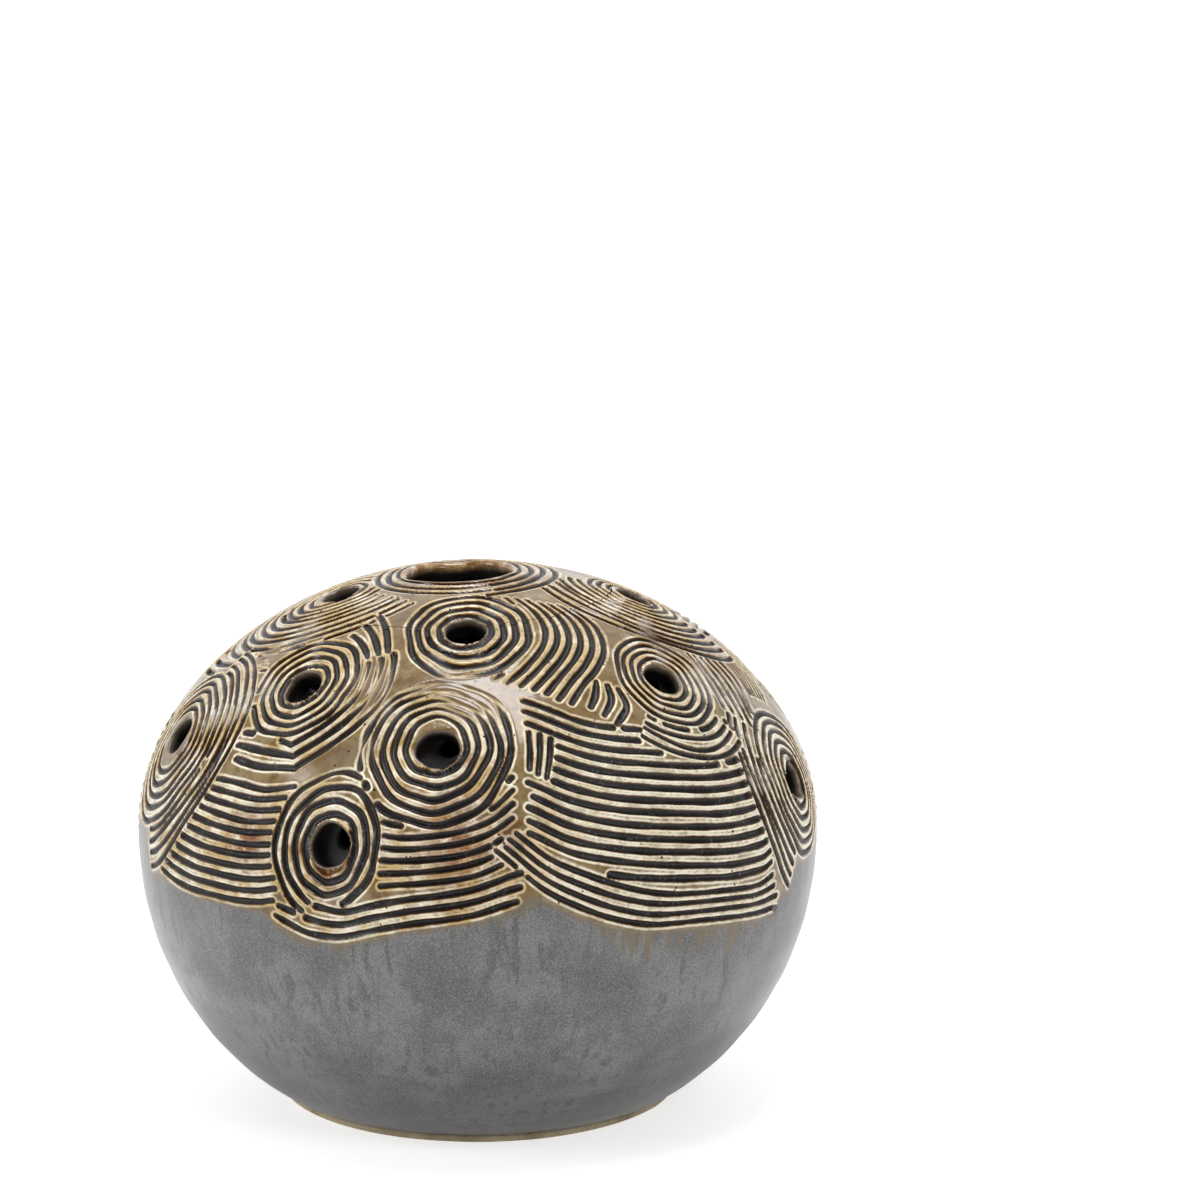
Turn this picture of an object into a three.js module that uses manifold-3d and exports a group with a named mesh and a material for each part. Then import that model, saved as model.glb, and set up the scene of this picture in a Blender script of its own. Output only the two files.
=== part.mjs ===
// A hand-made stoneware flower frog: a closed, slightly flattened round pot with one mouth on top
// and a scatter of stem holes through its dome. Millimetres, +Z up. The origin is the centre of the
// foot, on the surface that the pot stands on.
//
// The pot is divided where its maker joined it: a foot ring, a lower thrown bowl, an upper thrown
// dome turned over onto it, the lip of the mouth, and the coat of glaze that makes the bowl hold water.

import * as THREE from 'three';
import { mergeVertices } from 'three/addons/utils/BufferGeometryUtils.js';
import Module from 'manifold-3d';

const wasm = await Module();
wasm.setup();

// Driving dimensions
const RADIUS = 80;              // at the widest point
const HEIGHT = 124.7;           // of the closed form, before the mouth is cut
const WIDEST_HEIGHT = 65.4;     // height of the widest point
const JOIN_HEIGHT = 54;         // where the upper bowl was joined to the lower one
const WALL = 4.6;               // thickness of the wall
const FLOOR_TOP = 10;           // inside floor of the bowl
const CROWN_POWER = 1.093;      // 1 would make the dome a true half ellipse
const BELLY_OUT_POWER = 1.54;   // how fast the belly draws in to the foot
const BELLY_DOWN_POWER = 0.905; // how fast the belly drops to the foot

const FOOT_RADIUS = 47;
const FOOT_INNER_RADIUS = 39;
const FOOT_HEIGHT = 2.2;        // bare clay below the edge of the glaze
const FOOT_BEVEL = 0.6;
const BASE_RECESS = 4.4;        // height of the underside inside the foot ring

const MOUTH_X = -4.2;           // the mouth was cut by hand, a little off the axis
const MOUTH_Y = 3.2;
const MOUTH_RADIUS = 12.2;
const LIP_RADIUS = 15;          // outer edge of the smoothed lip
const MOUTH_SOFTENING = 0.7;    // how far the mouth flares at the surface

const GLAZE = 0.7;              // thickness of the inside glaze
const FIT_GAP = 0.3;            // clearance between neighbouring sub-parts

const AROUND = 60;              // facets round the pot
const DOME_STEPS = 13;          // profile steps from the join to the pole
const BELLY_STEPS = 8;          // profile steps from the foot to the join
const HOLE_FACETS = 14;         // facets round a stem hole
const MOUTH_FACETS = 36;        // facets round the mouth

const HOLE_SOFTENING = 0.8;     // how far a stem hole flares at the surface

// Each stem hole: azimuth from the front towards +X, polar angle from the top, diameter.
const STEM_HOLES = [
  [-4.5, 25.5, 9.0],
  [-46, 44, 9.2],
  [-8, 54, 9.6],
  [-25.5, 76, 9.8],
  [50, 43.5, 8.8],
  [-75.5, 63.5, 9.2],
  [-90, 23.5, 9.0],
  [73, 74, 9.2],
  [95, 27.5, 8.8],
  [100, 56, 9.2],
  [145, 30, 9.0],
  [-140, 36, 9.2],
  [122, 70, 9.8],
  [175, 58, 9.2],
  [-150, 72, 9.4],
  [-108, 54, 9.6],
];

const degrees = THREE.MathUtils.degToRad;

// Outer profile, as a point (radius, height) for an angle from the pole: 90 degrees is the widest
// point and 180 degrees is the edge of the foot.
function outerProfile(angle) {
  if (angle <= 90) {
    const rise = HEIGHT - WIDEST_HEIGHT;
    const a = degrees(angle);
    const cosine = Math.max(0, Math.cos(a));
    return new THREE.Vector2(RADIUS * Math.sin(a), WIDEST_HEIGHT + rise * cosine ** CROWN_POWER);
  }
  const a = degrees(angle - 90);
  const drop = WIDEST_HEIGHT - FOOT_HEIGHT;
  const cosine = Math.max(0, Math.cos(a));
  return new THREE.Vector2(
    FOOT_RADIUS + (RADIUS - FOOT_RADIUS) * cosine ** BELLY_OUT_POWER,
    FOOT_HEIGHT + drop * (1 - Math.sin(a) ** BELLY_DOWN_POWER),
  );
}

// Unit normal of the outer profile, pointing away from the pot.
function outerNormal(angle) {
  const step = 0.25;
  const before = outerProfile(Math.max(0, angle - step));
  const after = outerProfile(Math.min(180, angle + step));
  const along = after.sub(before).normalize();
  return new THREE.Vector2(-along.y, along.x);
}

// A point of a surface that lies `depth` inside the outer one.
function insetPoint(angle, depth) {
  const normal = outerNormal(angle);
  const point = outerProfile(angle).addScaledVector(normal, -depth);
  point.x = Math.max(0, point.x);
  return point;
}

// The angle at which a surface `depth` inside the outer one reaches a height, by halving.
function angleAtHeight(height, depth) {
  let above = 40;
  let below = 178;
  for (let i = 0; i < 40; i += 1) {
    const middle = (above + below) / 2;
    if (insetPoint(middle, depth).y > height) {
      above = middle;
    } else {
      below = middle;
    }
  }
  return above;
}

// Points of an inset surface between two angles, both ends included.
function profileRun(fromAngle, toAngle, depth, steps) {
  const points = [];
  for (let i = 0; i <= steps; i += 1) {
    const angle = fromAngle + ((toAngle - fromAngle) * i) / steps;
    points.push(insetPoint(angle, depth));
  }
  return points;
}

// A solid of revolution about +Z. The outline runs with the material on its left.
function revolve(outline, facets = AROUND) {
  const geometry = new THREE.LatheGeometry(outline, facets);
  geometry.rotateX(Math.PI / 2);
  return geometry;
}

function toManifold(geometry) {
  const bare = geometry.clone();
  bare.deleteAttribute('normal');
  bare.deleteAttribute('uv');
  const merged = mergeVertices(bare, 1e-4);
  return new wasm.Manifold(new wasm.Mesh({
    numProp: 3,
    vertProperties: new Float32Array(merged.attributes.position.array),
    triVerts: new Uint32Array(merged.index.array),
  }));
}

function toGeometry(manifold) {
  const mesh = manifold.getMesh();
  const geometry = new THREE.BufferGeometry();
  geometry.setAttribute('position', new THREE.BufferAttribute(mesh.vertProperties, 3));
  geometry.setIndex(new THREE.BufferAttribute(mesh.triVerts, 1));
  geometry.computeVertexNormals();
  return geometry;
}

// The closed dome wall, before anything is cut through it.
function domeShell() {
  const outer = profileRun(angleAtHeight(JOIN_HEIGHT, 0), 0, 0, DOME_STEPS);
  const inner = profileRun(0, angleAtHeight(JOIN_HEIGHT, WALL), WALL, DOME_STEPS);
  outer[0].y = JOIN_HEIGHT;
  inner[inner.length - 1].y = JOIN_HEIGHT;
  outer[outer.length - 1].x = 0;
  inner[0].x = 0;
  return toManifold(revolve([...outer, ...inner, outer[0]]));
}

// A plain bore that flares softly where it meets the surface; its top face is well above it.
function borer(radius, surfaceHeight, softening, facets) {
  const reach = 3 * WALL;
  return revolve([
    new THREE.Vector2(0, surfaceHeight - reach),
    new THREE.Vector2(radius, surfaceHeight - reach),
    new THREE.Vector2(radius, surfaceHeight - 2 * softening),
    new THREE.Vector2(radius + 0.25 * softening, surfaceHeight - softening),
    new THREE.Vector2(radius + softening, surfaceHeight),
    new THREE.Vector2(radius + softening, surfaceHeight + reach),
    new THREE.Vector2(0, surfaceHeight + reach),
  ], facets);
}

// Cutter for one stem hole, square to the surface where it goes through.
function stemHoleCutter([azimuth, angle, diameter]) {
  const geometry = borer(diameter / 2, 0, HOLE_SOFTENING, HOLE_FACETS);
  const profile = outerProfile(angle);
  const slope = outerNormal(angle);
  const a = degrees(azimuth);
  const place = new THREE.Vector3(profile.x * Math.sin(a), -profile.x * Math.cos(a), profile.y);
  const normal = new THREE.Vector3(slope.x * Math.sin(a), -slope.x * Math.cos(a), slope.y);
  const turn = new THREE.Quaternion().setFromUnitVectors(new THREE.Vector3(0, 0, 1), normal);
  geometry.applyQuaternion(turn);
  geometry.translate(place.x, place.y, place.z);
  return toManifold(geometry);
}

function uprightCylinder(radius, fromHeight, toHeight) {
  const geometry = new THREE.CylinderGeometry(radius, radius, toHeight - fromHeight, MOUTH_FACETS);
  geometry.rotateX(Math.PI / 2);
  geometry.translate(MOUTH_X, MOUTH_Y, (fromHeight + toHeight) / 2);
  return toManifold(geometry);
}

function footRingGeometry() {
  const outline = [
    new THREE.Vector2(FOOT_INNER_RADIUS + FOOT_BEVEL, 0),
    new THREE.Vector2(FOOT_RADIUS - FOOT_BEVEL, 0),
    new THREE.Vector2(FOOT_RADIUS - 0.2 * FOOT_BEVEL, FOOT_BEVEL),
    new THREE.Vector2(FOOT_RADIUS, FOOT_HEIGHT),
    new THREE.Vector2(FOOT_INNER_RADIUS, FOOT_HEIGHT),
    new THREE.Vector2(FOOT_INNER_RADIUS, FOOT_BEVEL),
    new THREE.Vector2(FOOT_INNER_RADIUS + FOOT_BEVEL, 0),
  ];
  return revolve(outline);
}

function bowlGeometry() {
  const outer = profileRun(180, angleAtHeight(JOIN_HEIGHT, 0), 0, BELLY_STEPS);
  outer[0].set(FOOT_RADIUS, FOOT_HEIGHT);
  outer[outer.length - 1].y = JOIN_HEIGHT;
  const topAngle = angleAtHeight(JOIN_HEIGHT, WALL);
  const floorAngle = angleAtHeight(FLOOR_TOP, WALL);
  const inner = profileRun(topAngle, floorAngle, WALL, BELLY_STEPS);
  inner[0].y = JOIN_HEIGHT;
  const outline = [
    new THREE.Vector2(0, BASE_RECESS),
    new THREE.Vector2(FOOT_INNER_RADIUS - 3, BASE_RECESS - 0.3),
    new THREE.Vector2(FOOT_INNER_RADIUS, FOOT_HEIGHT),
    ...outer,
    ...inner,
    new THREE.Vector2(0, FLOOR_TOP - 0.4),
  ];
  return revolve(outline);
}

// The glass lining of the bowl: an open cup that follows the wall at an even thickness.
function insideGlazeGeometry() {
  const back = WALL + FIT_GAP;
  const face = back + GLAZE;
  const backFloor = FLOOR_TOP + FIT_GAP;
  const top = JOIN_HEIGHT - FIT_GAP;
  const outer = profileRun(angleAtHeight(backFloor, back), angleAtHeight(top, back), back, BELLY_STEPS);
  const inner = profileRun(
    angleAtHeight(top, face),
    angleAtHeight(backFloor + GLAZE, face),
    face,
    BELLY_STEPS,
  );
  const outline = [
    new THREE.Vector2(0, backFloor),
    ...outer,
    ...inner,
    new THREE.Vector2(0, backFloor + GLAZE),
  ];
  return revolve(outline);
}

function carvedDomeGeometry(shell) {
  let solid = shell.subtract(uprightCylinder(LIP_RADIUS + FIT_GAP, WIDEST_HEIGHT, HEIGHT + WALL));
  for (const hole of STEM_HOLES) {
    solid = solid.subtract(stemHoleCutter(hole));
  }
  return toGeometry(solid);
}

function mouthLipGeometry(shell) {
  const surface = outerProfile(10).y;
  const bore = borer(MOUTH_RADIUS, surface, MOUTH_SOFTENING, MOUTH_FACETS);
  bore.translate(MOUTH_X, MOUTH_Y, 0);
  const ring = shell.intersect(uprightCylinder(LIP_RADIUS, WIDEST_HEIGHT, HEIGHT + WALL));
  return toGeometry(ring.subtract(toManifold(bore)));
}

function addPart(parent, name, geometry, color, roughness) {
  const material = new THREE.MeshStandardMaterial({ color, roughness, metalness: 0 });
  const mesh = new THREE.Mesh(geometry, material);
  mesh.name = name;
  parent.add(mesh);
}

const group = new THREE.Group();
const shell = domeShell();
addPart(group, 'foot_ring', footRingGeometry(), 0xc9b79c, 0.85);
addPart(group, 'bowl', bowlGeometry(), 0x8b8d8c, 0.35);
addPart(group, 'inside_glaze', insideGlazeGeometry(), 0x3a3633, 0.3);
addPart(group, 'carved_dome', carvedDomeGeometry(shell), 0x8f806a, 0.35);
addPart(group, 'mouth_lip', mouthLipGeometry(shell), 0x7a5f42, 0.35);

export default group;
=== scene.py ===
import math
import random

import bmesh
import bpy
import numpy as np
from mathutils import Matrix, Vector
from mathutils.kdtree import KDTree


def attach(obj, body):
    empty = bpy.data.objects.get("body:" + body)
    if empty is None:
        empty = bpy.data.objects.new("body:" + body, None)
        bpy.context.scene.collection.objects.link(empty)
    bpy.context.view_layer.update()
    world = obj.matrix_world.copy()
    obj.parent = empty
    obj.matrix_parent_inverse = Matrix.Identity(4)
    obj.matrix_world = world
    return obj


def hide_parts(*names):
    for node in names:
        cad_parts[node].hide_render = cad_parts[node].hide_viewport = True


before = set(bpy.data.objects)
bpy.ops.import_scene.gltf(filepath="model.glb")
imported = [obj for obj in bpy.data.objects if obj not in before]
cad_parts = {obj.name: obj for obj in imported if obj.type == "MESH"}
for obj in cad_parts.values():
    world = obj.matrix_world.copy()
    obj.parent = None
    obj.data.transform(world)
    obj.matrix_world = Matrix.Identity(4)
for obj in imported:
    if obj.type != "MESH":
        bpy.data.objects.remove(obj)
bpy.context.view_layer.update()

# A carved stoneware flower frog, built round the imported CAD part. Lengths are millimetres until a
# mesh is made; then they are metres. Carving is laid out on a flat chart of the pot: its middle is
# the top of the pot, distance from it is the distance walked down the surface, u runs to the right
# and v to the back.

MM = 0.001

# The CAD form
RADIUS = 80.0
HEIGHT = 124.7
WIDEST_HEIGHT = 65.4
JOIN_HEIGHT = 54.0
WALL = 4.6
FLOOR_TOP = 10.0
CROWN_POWER = 1.093
BELLY_OUT_POWER = 1.54
BELLY_DOWN_POWER = 0.905
FOOT_RADIUS = 47.0
FOOT_INNER_RADIUS = 39.0
FOOT_HEIGHT = 2.2
FOOT_BEVEL = 0.6
BASE_RECESS = 4.4
MOUTH = (-4.2, 3.2)
MOUTH_RADIUS = 12.2
LIP_RADIUS = 15.0
GLAZE = 0.7
FIT_GAP = 0.3

# Stem holes: azimuth from the front towards +X, polar angle from the top, diameter
STEM_HOLES = [
    (-4.5, 25.5, 9.0),
    (-46, 44, 9.2),
    (-8, 54, 9.6),
    (-25.5, 76, 9.8),
    (50, 43.5, 8.8),
    (-75.5, 63.5, 9.2),
    (-90, 23.5, 9.0),
    (73, 74, 9.2),
    (95, 27.5, 8.8),
    (100, 56, 9.2),
    (145, 30, 9.0),
    (-140, 36, 9.2),
    (122, 70, 9.8),
    (175, 58, 9.2),
    (-150, 72, 9.4),
    (-108, 54, 9.6),
]

# Surface grids
SKIN_STEP = 0.38          # between rows of the carved skin
SKIN_COLUMNS = 1200
BELLY_STEP = 1.1
INNER_STEP = 3.0
INNER_COLUMNS = 180
LINER_COLUMNS = 240
FOOT_COLUMNS = 480
LIP_COLUMNS = 720
DOME_START = 9.0          # the dome's rings start this far from the top, inside the mouth
COARSE_WALKS = (20, 41)   # rings above these have a quarter and a half of the columns
SKIN_CUT_REACH = 1.6      # width of the band of faces looked at round a hole cut in the skin
STEM_CUT = (-5, 4)        # how far in and out along its axis such a cut reaches
MOUTH_CUT = (-20, 5)
INNER_CUT_REACH = 5.5     # the same for a hole in the inner surface
INNER_CUT = (-22, 3)
INNER_CUT_MARGIN = 0.5
HOLE_RIM = 0.55           # roundness of a stem hole's edge
BORE_ROWS = 6
LIP_ROLL = 1.15           # roundness of the mouth's edge
LIP_GAP = 0.02            # between the lip and the edge of the dome round it
LIP_FLAT = (14.8, 13.45)  # the lip's flat part, outer and inner radius
LIP_STEP = 0.18

# Carving tool
GROOVE_SHARE = 0.285      # a groove's half width as a share of the pitch
GROOVE_DEPTH = 0.85
STROKE_STEP = 0.18
STROKE_GAP = 1.75         # an earlier groove stops this far from the middle of a later one
GROOVE_WALL = (-0.46, 0.14)   # where a groove's side lies, measured outwards from its edge
BURR = (0.07, 0.42, 0.22)     # height, distance from the edge and width of the burr
FOOT_BEAD = (0.30, 1.5, 0.9)  # height, distance above the foot and width of the glaze's bead
RING_POINTS = 241             # points of a ring's path, before it is evened out
FAN_POINTS = 120
PITCH_RANGE = (1.9, 3.1)
BORDER_START = 84             # the carving's lower border is looked for below this walk
BORDER_BINS = 720
BORDER_MARGIN = 1.45
FAR = 9.0                     # distance given to a surface that has no groove near it

# Fans of grooves: name, number of grooves, first groove's path, last groove's path, on the chart
FANS = [
    ("back_band_a", 19, [(101, 2), (99, 30), (82, 62), (58, 86)],
     [(48, 4), (52, 24), (44, 42), (28, 52)]),
    ("back_band_b", 21, [(66, 84), (36, 101), (4, 108), (-30, 104)],
     [(26, 42), (14, 50), (0, 53), (-14, 50)]),
    ("back_band_c", 20, [(-22, 106), (-58, 92), (-86, 66), (-102, 34)],
     [(-12, 50), (-30, 56), (-46, 44), (-54, 26)]),
    ("back_band_d", 12, [(-104, 40), (-110, 10), (-108, -14)],
     [(-78, 34), (-84, 12), (-82, -2)]),
    ("back_band_e", 9, [(112, -14), (113, 8), (104, 34)],
     [(92, -6), (94, 6), (86, 26)]),
    ("back_top", 10, [(-40, 12), (-26, 26), (-4, 36), (18, 30), (30, 18)],
     [(-16, 14), (-12, 18), (-4, 21), (6, 19), (12, 13)]),
    ("left_top", 4, [(-70.5, 11), (-69, 0), (-65, -10.5), (-58.5, -19.5), (-52, -27)],
     [(-60.5, 11), (-60, 1.5), (-57, -8), (-53.5, -15.5), (-50.5, -21)]),
    ("sweep", 7, [(6.5, -19.5), (10.5, -25.5), (13, -32), (12.5, -39), (8.5, -47), (4, -52)],
     [(21.5, -20), (27.5, -26), (30, -35), (28.5, -43), (25.5, -49.5), (22.5, -57)]),
    ("over_right", 6, [(48, -10), (57, -11.5), (65, -15.5), (70, -23.5), (73.5, -28.5)],
     [(45, -19.5), (52, -21), (58.5, -28.5), (63.5, -35), (70, -40.5), (78, -43.5)]),
    ("upper_right", 6, [(61, 2.5), (68.5, -1), (73.5, -6.5), (75.5, -11.5)],
     [(50.5, -9), (58.5, -8.5), (65, -11), (70, -17)]),
    ("left_low", 11, [(-70, -51.5), (-63.5, -58.5), (-56.5, -65), (-47, -69.5)],
     [(-102.5, -46), (-99, -55), (-93.5, -64.5), (-86.5, -73), (-78.5, -81), (-70.5, -87),
      (-63.5, -90.5)]),
    ("right", 13, [(11, -58), (26, -61), (39, -58), (52, -51.5), (60.5, -43.5), (64, -37)],
     [(14, -94), (26, -96.5), (39, -95), (52, -91), (65, -84.5), (78, -75.5), (88, -65),
      (91, -59)]),
    ("shorts", 3, [(28.5, -47.5), (28.5, -52), (27.5, -56)],
     [(34, -47.5), (36.5, -52.5), (34.5, -58.5)]),
    ("ticks", 3, [(12.5, -66.5), (13, -71.5), (13, -76)],
     [(18, -67), (18, -72), (17.5, -77.5)]),
    ("middle", 7, [(-26, -83), (-20, -85.5), (-12, -86.5), (-4, -86), (4, -83), (9, -78)],
     [(-29, -100.2), (-18, -101.7), (-8, -102), (0, -101), (6, -98.8), (10, -97)]),
    ("border_right", 4, [(9.5, -91), (20, -96), (32.5, -97.4), (45, -96.4), (57.5, -92.6),
                         (70, -85.4), (82.5, -75.5), (90.5, -67), (94.5, -59)],
     [(4, -95), (19.5, -103), (36.5, -105), (52, -102.5), (65, -96.5), (81, -85.5),
      (94, -73.5), (104, -60.5)]),
    ("border_left", 3, [(-60, -91.5), (-56, -94.5), (-50, -98.7), (-42, -102.9), (-33, -104),
                        (-20, -104.8), (-10, -105), (0, -103.8), (12, -100)],
     [(-66, -93), (-61, -98.5), (-55, -103.5), (-45, -108), (-32, -109.8), (-20, -110.6),
      (-10, -110.8), (0, -109.8), (12, -106.4)]),
    ("vee", 3, [(-60, -44.5), (-53.5, -51), (-47.8, -57.2), (-46.2, -57.8), (-40, -57.3),
                (-33.5, -55), (-28.5, -50.5), (-26, -43), (-26.3, -36), (-29.5, -29)],
     [(-64, -50), (-57, -58), (-48.2, -64), (-46.4, -64.3), (-38, -63.2), (-30, -60.3),
      (-23, -54), (-20, -45), (-20.2, -38), (-23, -28)]),
]

# Rings of grooves: name, centre, then the first groove's radius and the pitch towards the right,
# back, left and front, number of grooves, from and to angle, corners of the hand-cut polygon
RINGS = [
    ("b12", (76.2, 47.6), (7, 7, 7, 7), (2.7, 2.6, 2.8, 2.7), 5, 0, 360, 7),
    ("b13_arcs", (6.7, 76.1), (19.5, 19, 19.5, 19), (2.7, 2.6, 2.7, 2.6), 4, 200, 330, 0),
    ("b13", (6.7, 76.1), (6.8, 6.6, 6.9, 6.8), (2.6, 2.5, 2.6, 2.5), 5, 0, 360, 8),
    ("b14", (-46, 79.7), (6.8, 7, 7, 6.8), (2.7, 2.6, 2.8, 2.7), 5, 0, 360, 7),
    ("b15_arcs", (-68.1, 22.1), (17, 17, 18, 17), (2.6, 2.6, 2.6, 2.6), 4, 60, 215, 0),
    ("b15", (-68.1, 22.1), (6.7, 6.6, 7, 6.7), (2.5, 2.5, 2.6, 2.5), 4, 0, 360, 7),
    ("b9", (72.9, 12.9), (6.5, 6.6, 6.6, 6.5), (2.6, 2.5, 2.5, 2.5), 4, 0, 360, 8),
    ("b11_arcs", (-31.6, 37.6), (16.6, 17, 17, 17), (2.5, 2.6, 2.6, 2.5), 5, 60, 240, 0),
    ("b11", (-31.6, 37.6), (6.5, 6.4, 6.5, 6.4), (2.5, 2.4, 2.5, 2.4), 4, 0, 360, 7),
    ("b10_arcs", (23.6, 33.8), (18.7, 19, 18.8, 19), (2.6, 2.5, 2.5, 2.5), 4, -20, 130, 0),
    ("b10", (23.6, 33.8), (6.3, 6.4, 6.3, 6.3), (2.5, 2.4, 2.5, 2.5), 5, 0, 360, 8),
    ("h9_arcs", (37.3, 3.3), (14, 14, 13, 13.8), (2.7, 2.5, 2.4, 2.45), 6, 185, 350, 0),
    ("h9", (37.3, 3.3), (6.2, 6.2, 6.2, 6.6), (2.5, 2.4, 2.3, 2.4), 3, 0, 360, 7),
    ("h7_arcs", (-32.2, 0), (13, 13, 15.4, 12.8), (2.6, 2.6, 2.75, 2.7), 6, 150, 310, 0),
    ("h7", (-32.2, 0), (6, 6.5, 7.9, 5.8), (2.3, 2.5, 2.7, 2.4), 3, 0, 360, 7),
    ("h2_arcs", (-42.6, -41.1), (16.2, 20.5, 17, 14.5), (2.9, 5.5, 2.5, 2.25), 3, 5, 42, 0),
    ("h2", (-42.6, -41.1), (6.6, 6.3, 6.1, 6.6), (2.45, 2.85, 2.5, 2.5), 4, 0, 360, 8),
    ("h6_arcs", (-80, -20.8), (18.3, 18, 23, 23.2), (2.2, 2.6, 2.8, 2.7), 4, -150, 25, 0),
    ("h6", (-80, -20.8), (6.5, 9, 9.5, 9.5), (2.4, 2.7, 3, 2.8), 5, 0, 360, 7),
    ("h8_arcs", (90, -28), (19.6, 19.6, 19.5, 19.6), (2.7, 2.7, 2.6, 2.7), 4, 195, 300, 0),
    ("h8", (90, -28), (6.6, 7, 7, 6.5), (2.8, 2.8, 2.6, 2.6), 5, 0, 360, 7),
    ("h5_arcs", (45, -38), (15.6, 15, 14, 14.4), (2.5, 2.4, 2.4, 2.3), 4, -100, -8, 0),
    ("h5", (45, -38), (6.4, 7.3, 6, 6.3), (2.4, 2.4, 1.95, 2.05), 4, 0, 360, 7),
    ("mouth_arcs", MOUTH, (14.2, 14.2, 14.2, 14.6), (2.75, 2.7, 2.7, 2.8), 4, -80, 100, 0),
    ("mouth_front", MOUTH, (16.9, 17, 16.9, 17.3), (2.6, 2.6, 2.6, 2.6), 2, 150, 290, 0),
    ("mouth", MOUTH, (14.2, 14.2, 14.2, 14.6), (2.75, 2.7, 2.7, 2.8), 1, 0, 360, 0),
    ("h1", (-2.7, -34.8), (6, 6.3, 6.4, 6.7), (2.9, 3, 2.4, 3.2), 4, 0, 360, 8),
    ("h3", (-10.2, -70.7), (7.5, 8.2, 7.8, 6.6), (2.7, 2.4, 2.9, 3), 5, 0, 360, 8),
    ("h4_outer", (-41.6, -86.8), (17.3, 16.6, 17.6, 17), (3, 3, 3, 3), 1, 48, 216, 8),
    ("h4_third", (-41.6, -86.8), (14.2, 13.4, 14.3, 14.1), (3, 3, 3, 3), 1, -90, 222, 8),
    ("h4", (-41.6, -86.8), (7.9, 7.1, 7.7, 8.5), (3.15, 3.15, 3.3, 2.8), 2, 0, 360, 8),
]
CORNER_SIZE = 0.013       # how far a ring's corners stand out, as a share of its radius

# Places where the wet carving was smoothed over: chart point, reach right and back, strength
RUBS = [
    (-1.0, -58.0, 8.0, 5.0, 0.85),
    (-5.0, -53.0, 11.0, 3.5, 0.9),
    (-35.0, -67.0, 9.0, 3.5, 0.8),
    (-25.0, -50.0, 5.0, 9.0, 0.7),
    (-51.0, -20.0, 4.0, 4.0, 0.7),
]
# Amber and rust where iron broke through: chart point, reach, strength
STAINS = [
    (-66.0, -73.0, 8.0, 1.2),
    (-2.7, -30.5, 4.0, 0.8),
    (1.5, -36.0, 4.0, 0.7),
    (-44.0, -93.0, 5.5, 1.2),
    (-37.0, -91.0, 4.5, 1.0),
    (-51.0, -84.0, 3.5, 0.9),
    (2.0, -9.5, 9.0, 0.9),
    (12.0, -6.0, 6.0, 0.7),
    (-80.0, -28.0, 5.0, 0.8),
    (24.0, -23.0, 6.0, 0.7),
    (44.0, -20.0, 7.0, 0.8),
    (-6.0, -94.0, 14.0, 0.9),
    (-3.0, -74.0, 3.0, 0.9),
    (8.0, -92.0, 6.0, 0.7),
    (60.0, -10.0, 12.0, 0.5),
    (-16.0, -8.0, 10.0, 0.6),
    (-60.0, 40.0, 12.0, 0.6),
    (30.0, 70.0, 10.0, 0.6),
    (-10.0, 60.0, 10.0, 0.5),
    (92.0, 20.0, 10.0, 0.5),
]
# Runs of amber glaze below the carving: azimuth, half width in degrees, length
DRIPS = [
    (5.0, 4.0, 5.0),
    (28.0, 9.0, 6.5),
    (41.0, 9.0, 8.0),
    (-28.0, 12.0, 2.2),
    (62.0, 6.0, 3.0),
    (-75.0, 5.0, 7.0),
    (120.0, 12.0, 5.0),
    (170.0, 9.0, 6.0),
    (-140.0, 11.0, 5.0),
]


# ---- The form ----

def profile(angle):
    """Radius and height of the outer surface for angles in degrees from the top."""
    upper = np.radians(np.minimum(angle, 90.0))
    cosine = np.clip(np.cos(upper), 0, 1)
    lower = np.radians(np.clip(angle - 90.0, 0, 90))
    drop = WIDEST_HEIGHT - FOOT_HEIGHT
    radius = np.where(
        angle <= 90,
        RADIUS * np.sin(upper),
        FOOT_RADIUS + (RADIUS - FOOT_RADIUS) * np.clip(np.cos(lower), 0, 1) ** BELLY_OUT_POWER,
    )
    height = np.where(
        angle <= 90,
        WIDEST_HEIGHT + (HEIGHT - WIDEST_HEIGHT) * cosine ** CROWN_POWER,
        FOOT_HEIGHT + drop * (1 - np.sin(lower) ** BELLY_DOWN_POWER),
    )
    return radius, height


TABLE_ANGLE = np.linspace(0, 180, 7201)
TABLE_RADIUS, TABLE_Z = profile(TABLE_ANGLE)
TABLE_WALK = np.concatenate(
    [[0.0], np.cumsum(np.hypot(np.diff(TABLE_RADIUS), np.diff(TABLE_Z)))]
)
UPPER = len(TABLE_ANGLE) // 2 + 1  # rows of the table down to the widest point
WALK_TO_FOOT = float(TABLE_WALK[-1])
WALK_TO_JOIN = float(np.interp(-JOIN_HEIGHT, -TABLE_Z, TABLE_WALK))


def section(walk):
    """Radius, height and outward normal (radial, up) at a distance walked down from the top."""
    reach = 0.25
    radius = np.interp(walk, TABLE_WALK, TABLE_RADIUS)
    height = np.interp(walk, TABLE_WALK, TABLE_Z)
    ahead = np.minimum(walk + reach, WALK_TO_FOOT)
    behind = np.maximum(walk - reach, 0)
    out = np.interp(ahead, TABLE_WALK, TABLE_RADIUS) - np.interp(behind, TABLE_WALK, TABLE_RADIUS)
    down = np.interp(ahead, TABLE_WALK, TABLE_Z) - np.interp(behind, TABLE_WALK, TABLE_Z)
    length = np.hypot(out, down)
    return radius, height, -down / length, out / length


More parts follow.
